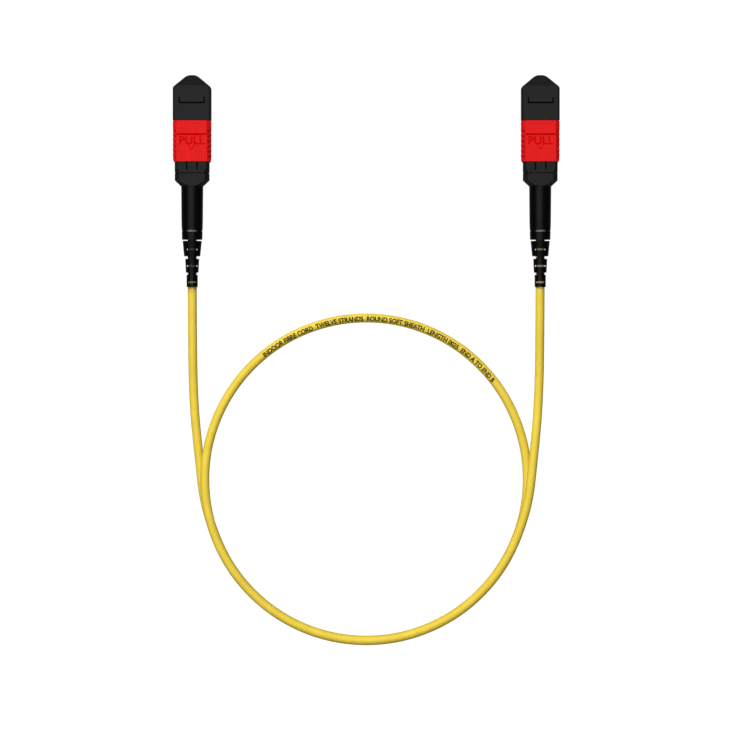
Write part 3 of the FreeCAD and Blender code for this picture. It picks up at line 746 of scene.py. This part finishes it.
# word, arrow and line as solids about the face that they cut
def markingCutter(spec):
    depth = spec["depth"]
    word = letteringMesh("pullWord", spec["word"], spec["wordWidth"], spec["wordHeight"],
                         bold=spec["bold"], extrude=1.0)
    for v in word.vertices:
        v.co += Vector((spec["wordShift"] - spec["wordWidth"] / 2, spec["wordMiddle"], 0.0))
        v.co.z *= depth
    cutter = bmesh.new()
    cutter.from_mesh(word)
    corners = [cutter.verts.new((x + spec["arrowShift"], y, -depth)) for x, y in arrowOutline(spec)]
    raised = bmesh.ops.extrude_face_region(cutter, geom=[cutter.faces.new(corners)])
    for item in raised["geom"]:
        if isinstance(item, bmesh.types.BMVert):
            item.co.z = depth
    rear, front = spec["lineRear"], spec["lineFront"]
    below, above = -spec["lineDepth"], spec["lineReach"]
    middle = Vector((0.0, rear + front, below + above)) / 2
    size = Vector((spec["lineWidth"], front - rear, above - below))
    line = bmesh.ops.create_cube(cutter, size=1.0, matrix=Matrix.LocRotScale(middle, None, size))
    for face in {face for vert in line["verts"] for face in vert.link_faces}:
        face.material_index = 1
    bmesh.ops.remove_doubles(cutter, verts=cutter.verts, dist=spec["weld"])
    bmesh.ops.recalc_face_normals(cutter, faces=cutter.faces)
    mesh = bpy.data.meshes.new("markingCutter")
    cutter.to_mesh(mesh)
    cutter.free()
    # the cut faces take darker reds as painted shade
    mesh.materials.append(materials["letterRed"])
    mesh.materials.append(materials["engravedRed"])
    return mesh


def markedSleeve(side, spec):
    mesh = joinedSkin(f"{side}_pull_sleeve", f"{side}_pullSleeve")
    finishSkin(mesh, side, spec)
    holder = newObject(mesh.name, mesh)
    toFace = Matrix.Translation((0.0, 0.0, spec["faceHeight"] - axisHeight))
    toAxis = Matrix.Translation(Vector((sides[side], 0.0, axisHeight)) * mm)
    cutters = []
    for turn in (0.0, math.pi):
        cutterMesh = markingCutter(spec)
        cutterMesh.transform(toAxis @ Matrix.Rotation(turn, 4, "Y") @ Matrix.Scale(mm, 4) @ toFace)
        cutter = newObject("cutter", cutterMesh)
        cut = holder.modifiers.new("sunk", "BOOLEAN")
        cut.operation = "DIFFERENCE"
        cut.solver = "EXACT"
        cut.material_mode = "TRANSFER"
        cut.object = cutter
        cutters.append(cutter)
    result = bakedMesh(holder, mesh.name, mesh)
    for cutter in cutters:
        bpy.data.objects.remove(cutter)
    return smoothed(result, smoothing["angle"], mouldCorners)


for side in sides:
    addPiece(f"{side}_pullSleeve", markedSleeve(side, marking), f"{side}_sleeve",
             [f"{side}_pull_sleeve"])
print("sleeves marked")


# coil springs: close end turns, open turns between them; mm

sleeveSpring = {
    "wire": 0.2, "outside": 1.15, "turns": 10.0, "joint": "sleeve_pull", "travel": 2.0,
    "pointsPerTurn": 18, "wireSides": 8,
}
coils = {
    "main_spring": {
        "name": "mainSpring", "wire": 0.45, "outside": 5.7, "turns": 6.0, "joint": "ferrule_float",
        "travel": 0.8, "pointsPerTurn": 28, "wireSides": 10,
    },
    "sleeve_spring_left": {"name": "sleeveSpringLeft", **sleeveSpring},
    "sleeve_spring_right": {"name": "sleeveSpringRight", **sleeveSpring},
}


def coilTree():
    tree, start, given = newTree("coilSpring", {
        "Coil Radius": "Float", "Wire Radius": "Float", "Length": "Float", "Turns": "Float",
        "Points Per Turn": "Int", "Wire Sides": "Int", "Middle": "Vector"})
    spiral = start.node("GeometryNodeCurveSpiral", {}, {
        "Resolution": given["Points Per Turn"], "Rotations": given["Turns"],
        "Start Radius": given["Coil Radius"], "End Radius": given["Coil Radius"], "Height": 0.0})
    done = start.node("GeometryNodeSplineParameter", out="Factor") * given["Turns"]
    pitch = given["Wire Radius"] * 2.0
    firstTurn = start.maths("MINIMUM", done, 1.0)
    lastTurn = start.maths("MAXIMUM", done - (given["Turns"] - 1.0), 0.0)
    between = done - firstTurn - lastTurn
    openRun = given["Length"] - pitch * 3.0      # less two close turns and the wire itself
    openPitch = openRun / (given["Turns"] - 2.0)
    rise = (firstTurn + lastTurn) * pitch + between * openPitch + given["Wire Radius"]
    around = start.node("GeometryNodeInputPosition")
    turned = joinVector(start, axisOf(start, around, "X"), rise, axisOf(start, around, "Y"))
    spot = vectorMaths(start, "ADD", turned, given["Middle"])
    coil = start.node("GeometryNodeSetPosition", {}, {"Geometry": spiral, "Position": spot})
    closeTree(start, given, roundTube(start, coil, given["Wire Radius"], given["Wire Sides"]))
    return tree


springTree = coilTree()
for side in sides:
    for node, spec in coils.items():
        low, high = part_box(f"{side}_{node}")
        length = high.y - low.y
        seat = rearMiddle(low, high)
        mesh = grown(f"{side}_{spec['name']}", springTree, {
            "Coil Radius": (spec["outside"] - spec["wire"]) / 2 * mm, "Wire Radius": spec["wire"] / 2 * mm,
            "Length": length, "Turns": spec["turns"], "Points Per Turn": spec["pointsPerTurn"],
            "Wire Sides": spec["wireSides"], "Middle": seat, "Finish": materials["springSteel"]})
        piece = addPiece(mesh.name, mesh, "trunk", [f"{side}_{node}"])
        1.0 - spec["travel"] * mm / length
        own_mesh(piece)
print("springs wound:", len(sides) * len(coils))


# the ribbon: twelve coated fibres side by side, each in its own colour; mm

ribbon = {"count": 12, "pitch": 0.25, "radius": 0.12, "fibreSides": 8, "travel": 0.8}


def ribbonTree():
    tree, start, given = newTree("fibreRibbon", {
        "Count": "Int", "Pitch": "Float", "Radius": "Float", "Sides": "Int", "Rear": "Vector",
        "Length": "Float"})
    end = joinVector(start, 0.0, given["Length"], 0.0)
    path = start.node("GeometryNodeCurvePrimitiveLine", {}, {"End": end})
    fibre = roundTube(start, path, given["Radius"], given["Sides"])
    spread = start.node("GeometryNodeInstanceOnPoints", {},
                        {"Points": pointRow(start, given), "Instance": fibre})
    place = (start.node("GeometryNodeInputIndex") + 0.5) / given["Count"]
    named = start.node("GeometryNodeStoreNamedAttribute", {"data_type": "FLOAT", "domain": "INSTANCE"},
                       {"Geometry": spread, "Name": "fibrePlace", "Value": place})
    closeTree(start, given, centredRow(start, given, named, given["Rear"]))
    return tree


fibreTree = ribbonTree()
for side in sides:
    low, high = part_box(f"{side}_fibre_ribbon")
    rear = rearMiddle(low, high)
    length = high.y - low.y
    mesh = grown(f"{side}_fibreRibbon", fibreTree, {
        "Count": ribbon["count"], "Pitch": ribbon["pitch"] * mm, "Radius": ribbon["radius"] * mm,
        "Sides": ribbon["fibreSides"], "Rear": rear, "Length": length, "Finish": materials["fibreCoating"]})
    piece = addPiece(mesh.name, mesh, "trunk", [f"{side}_fibre_ribbon"])
    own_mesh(piece)
print("ribbons laid")


# the strength yarn: filaments laid round the stub under the crimp ring; mm, the inset in radii

yarn = {"count": 66, "radius": 0.1, "inset": 1.05, "sides": 6, "sway": 0.03, "seed": 7, "points": 9}


def yarnTree():
    tree, start, given = newTree("strengthYarn", {
        "Count": "Int", "Ring Radius": "Float", "Radius": "Float", "Sides": "Int", "Length": "Float",
        "Sway": "Float", "Seed": "Int", "Points": "Int", "Rear": "Vector"})
    ring = start.node("GeometryNodeMeshCircle", {},
                      {"Vertices": given["Count"], "Radius": given["Ring Radius"]})
    end = joinVector(start, 0.0, 0.0, given["Length"])
    path = start.node("GeometryNodeCurvePrimitiveLine", {}, {"End": end})
    fine = start.node("GeometryNodeResampleCurve", {}, {"Curve": path, "Count": given["Points"]})
    strands = start.node("GeometryNodeInstanceOnPoints", {}, {"Points": ring, "Instance": fine})
    loose = start.node("GeometryNodeRealizeInstances", {}, {"Geometry": strands})
    drift = start.node("FunctionNodeRandomValue", {"data_type": "FLOAT"}, {
        2: -1.0, 3: 1.0, "ID": start.node("GeometryNodeInputIndex"), "Seed": given["Seed"]}, 1)
    place = start.node("GeometryNodeInputPosition")
    level = vectorMaths(start, "CROSS_PRODUCT", place, (0.0, 0.0, 1.0))
    sideways = vectorMaths(start, "NORMALIZE", level)
    swayed = start.node("GeometryNodeSetPosition", {}, {
        "Geometry": loose, "Offset": scaledVector(start, sideways, drift * given["Sway"])})
    laid = start.node("GeometryNodeTransform", {}, {
        "Geometry": roundTube(start, swayed, given["Radius"], given["Sides"]),
        "Translation": given["Rear"], "Rotation": (-math.pi / 2, 0.0, 0.0)})
    closeTree(start, given, laid)
    return tree


filamentTree = yarnTree()
for side in sides:
    low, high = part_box(f"{side}_aramid_yarn")
    mesh = grown(f"{side}_strengthYarn", filamentTree, {
        "Count": yarn["count"], "Ring Radius": (high.x - low.x) / 2 - yarn["radius"] * yarn["inset"] * mm,
        "Radius": yarn["radius"] * mm, "Sides": yarn["sides"], "Length": high.y - low.y,
        "Sway": yarn["sway"] * mm, "Seed": yarn["seed"], "Points": yarn["points"],
        "Rear": rearMiddle(low, high), "Finish": materials["yarnGold"]})
    addPiece(mesh.name, mesh, "trunk", [f"{side}_aramid_yarn"])
print("yarns laid")


# polished fibre ends in the ferrule's slanted face; mm and degrees

fibreEnds = {
    "count": 12, "pitch": 0.25, "radius": 0.0625, "proud": 0.004, "depth": 0.05, "sides": 14,
    "slant": 8.0, "blockHeight": 2.5,     # of the ferrule's face
}


def fibreEndTree():
    tree, start, given = newTree("fibreEnds", {
        "Count": "Int", "Pitch": "Float", "Radius": "Float", "Depth": "Float", "Sides": "Int",
        "Slant": "Float", "Middle": "Vector"})
    stub = start.node("GeometryNodeMeshCylinder", {}, {
        "Vertices": given["Sides"], "Radius": given["Radius"], "Depth": given["Depth"]}, "Mesh")
    tilt = joinVector(start, given["Slant"] - math.pi / 2, 0.0, 0.0)
    spread = start.node("GeometryNodeInstanceOnPoints", {},
                        {"Points": pointRow(start, given), "Instance": stub, "Rotation": tilt})
    closeTree(start, given, centredRow(start, given, spread, given["Middle"]))
    return tree


endTree = fibreEndTree()
slant = math.radians(fibreEnds["slant"])
sunk = (fibreEnds["depth"] / 2 - fibreEnds["proud"]) * mm
for side in sides:
    low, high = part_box(f"{side}_ferrule")
    face = high.y - math.tan(slant) * (fibreEnds["blockHeight"] * mm) / 2
    middle = Vector(((low.x + high.x) / 2, face - sunk * math.cos(slant),
                     (low.z + high.z) / 2 - sunk * math.sin(slant)))
    mesh = grown(f"{side}_fibreEnds", endTree, {
        "Count": fibreEnds["count"], "Pitch": fibreEnds["pitch"] * mm, "Radius": fibreEnds["radius"] * mm,
        "Depth": fibreEnds["depth"] * mm, "Sides": fibreEnds["sides"], "Slant": slant,
        "Middle": middle, "Finish": materials["fibreGlass"]})
    addPiece(mesh.name, mesh, f"{side}_ferrule_group")
print("fibre ends set")


# soft boxes, m and W: one over the plugs, and two for the cable, above it and beyond the plugs

cableOnly = {"aim": (0.0, -0.06, 0.0), "share": "INCLUDE", "linked": [cablePiece, legendPiece]}
lamps = {
    "plugTop": {"place": (-0.80, 1.06, 3.0), "aim": (-0.80, 1.06, 0.0), "size": (3.3, 2.9), "power": 111.0,
                "share": "EXCLUDE", "linked": [paperSweep, cablePiece, legendPiece]},
    "cableTop": {"place": (-0.42, -0.06, 1.9), "size": (1.2, 1.2), "power": 16.0, **cableOnly},
    "cableKey": {"place": (-0.5, 1.28, 1.35), "size": (1.0, 1.0), "power": 33.0, **cableOnly},
}


def addLamp(name, spec):
    data = bpy.data.lights.new(name, "AREA")
    data.shape = "RECTANGLE"
    data.size, data.size_y = spec["size"]
    data.energy = spec["power"]
    lamp = newObject(name, data)
    lamp.location = spec["place"]
    lamp.rotation_euler = (Vector(spec["aim"]) - lamp.location).to_track_quat("-Z", "Y").to_euler()
    receivers = bpy.data.collections.new(f"{name}Receivers")
    for obj in spec["linked"]:
        receivers.objects.link(obj)
    for item in receivers.collection_objects:
        item.light_linking.link_state = spec["share"]
    lamp.light_linking.receiver_collection = receivers


for name, spec in lamps.items():
    addLamp(name, spec)
print("lamps hung:", len(lamps))
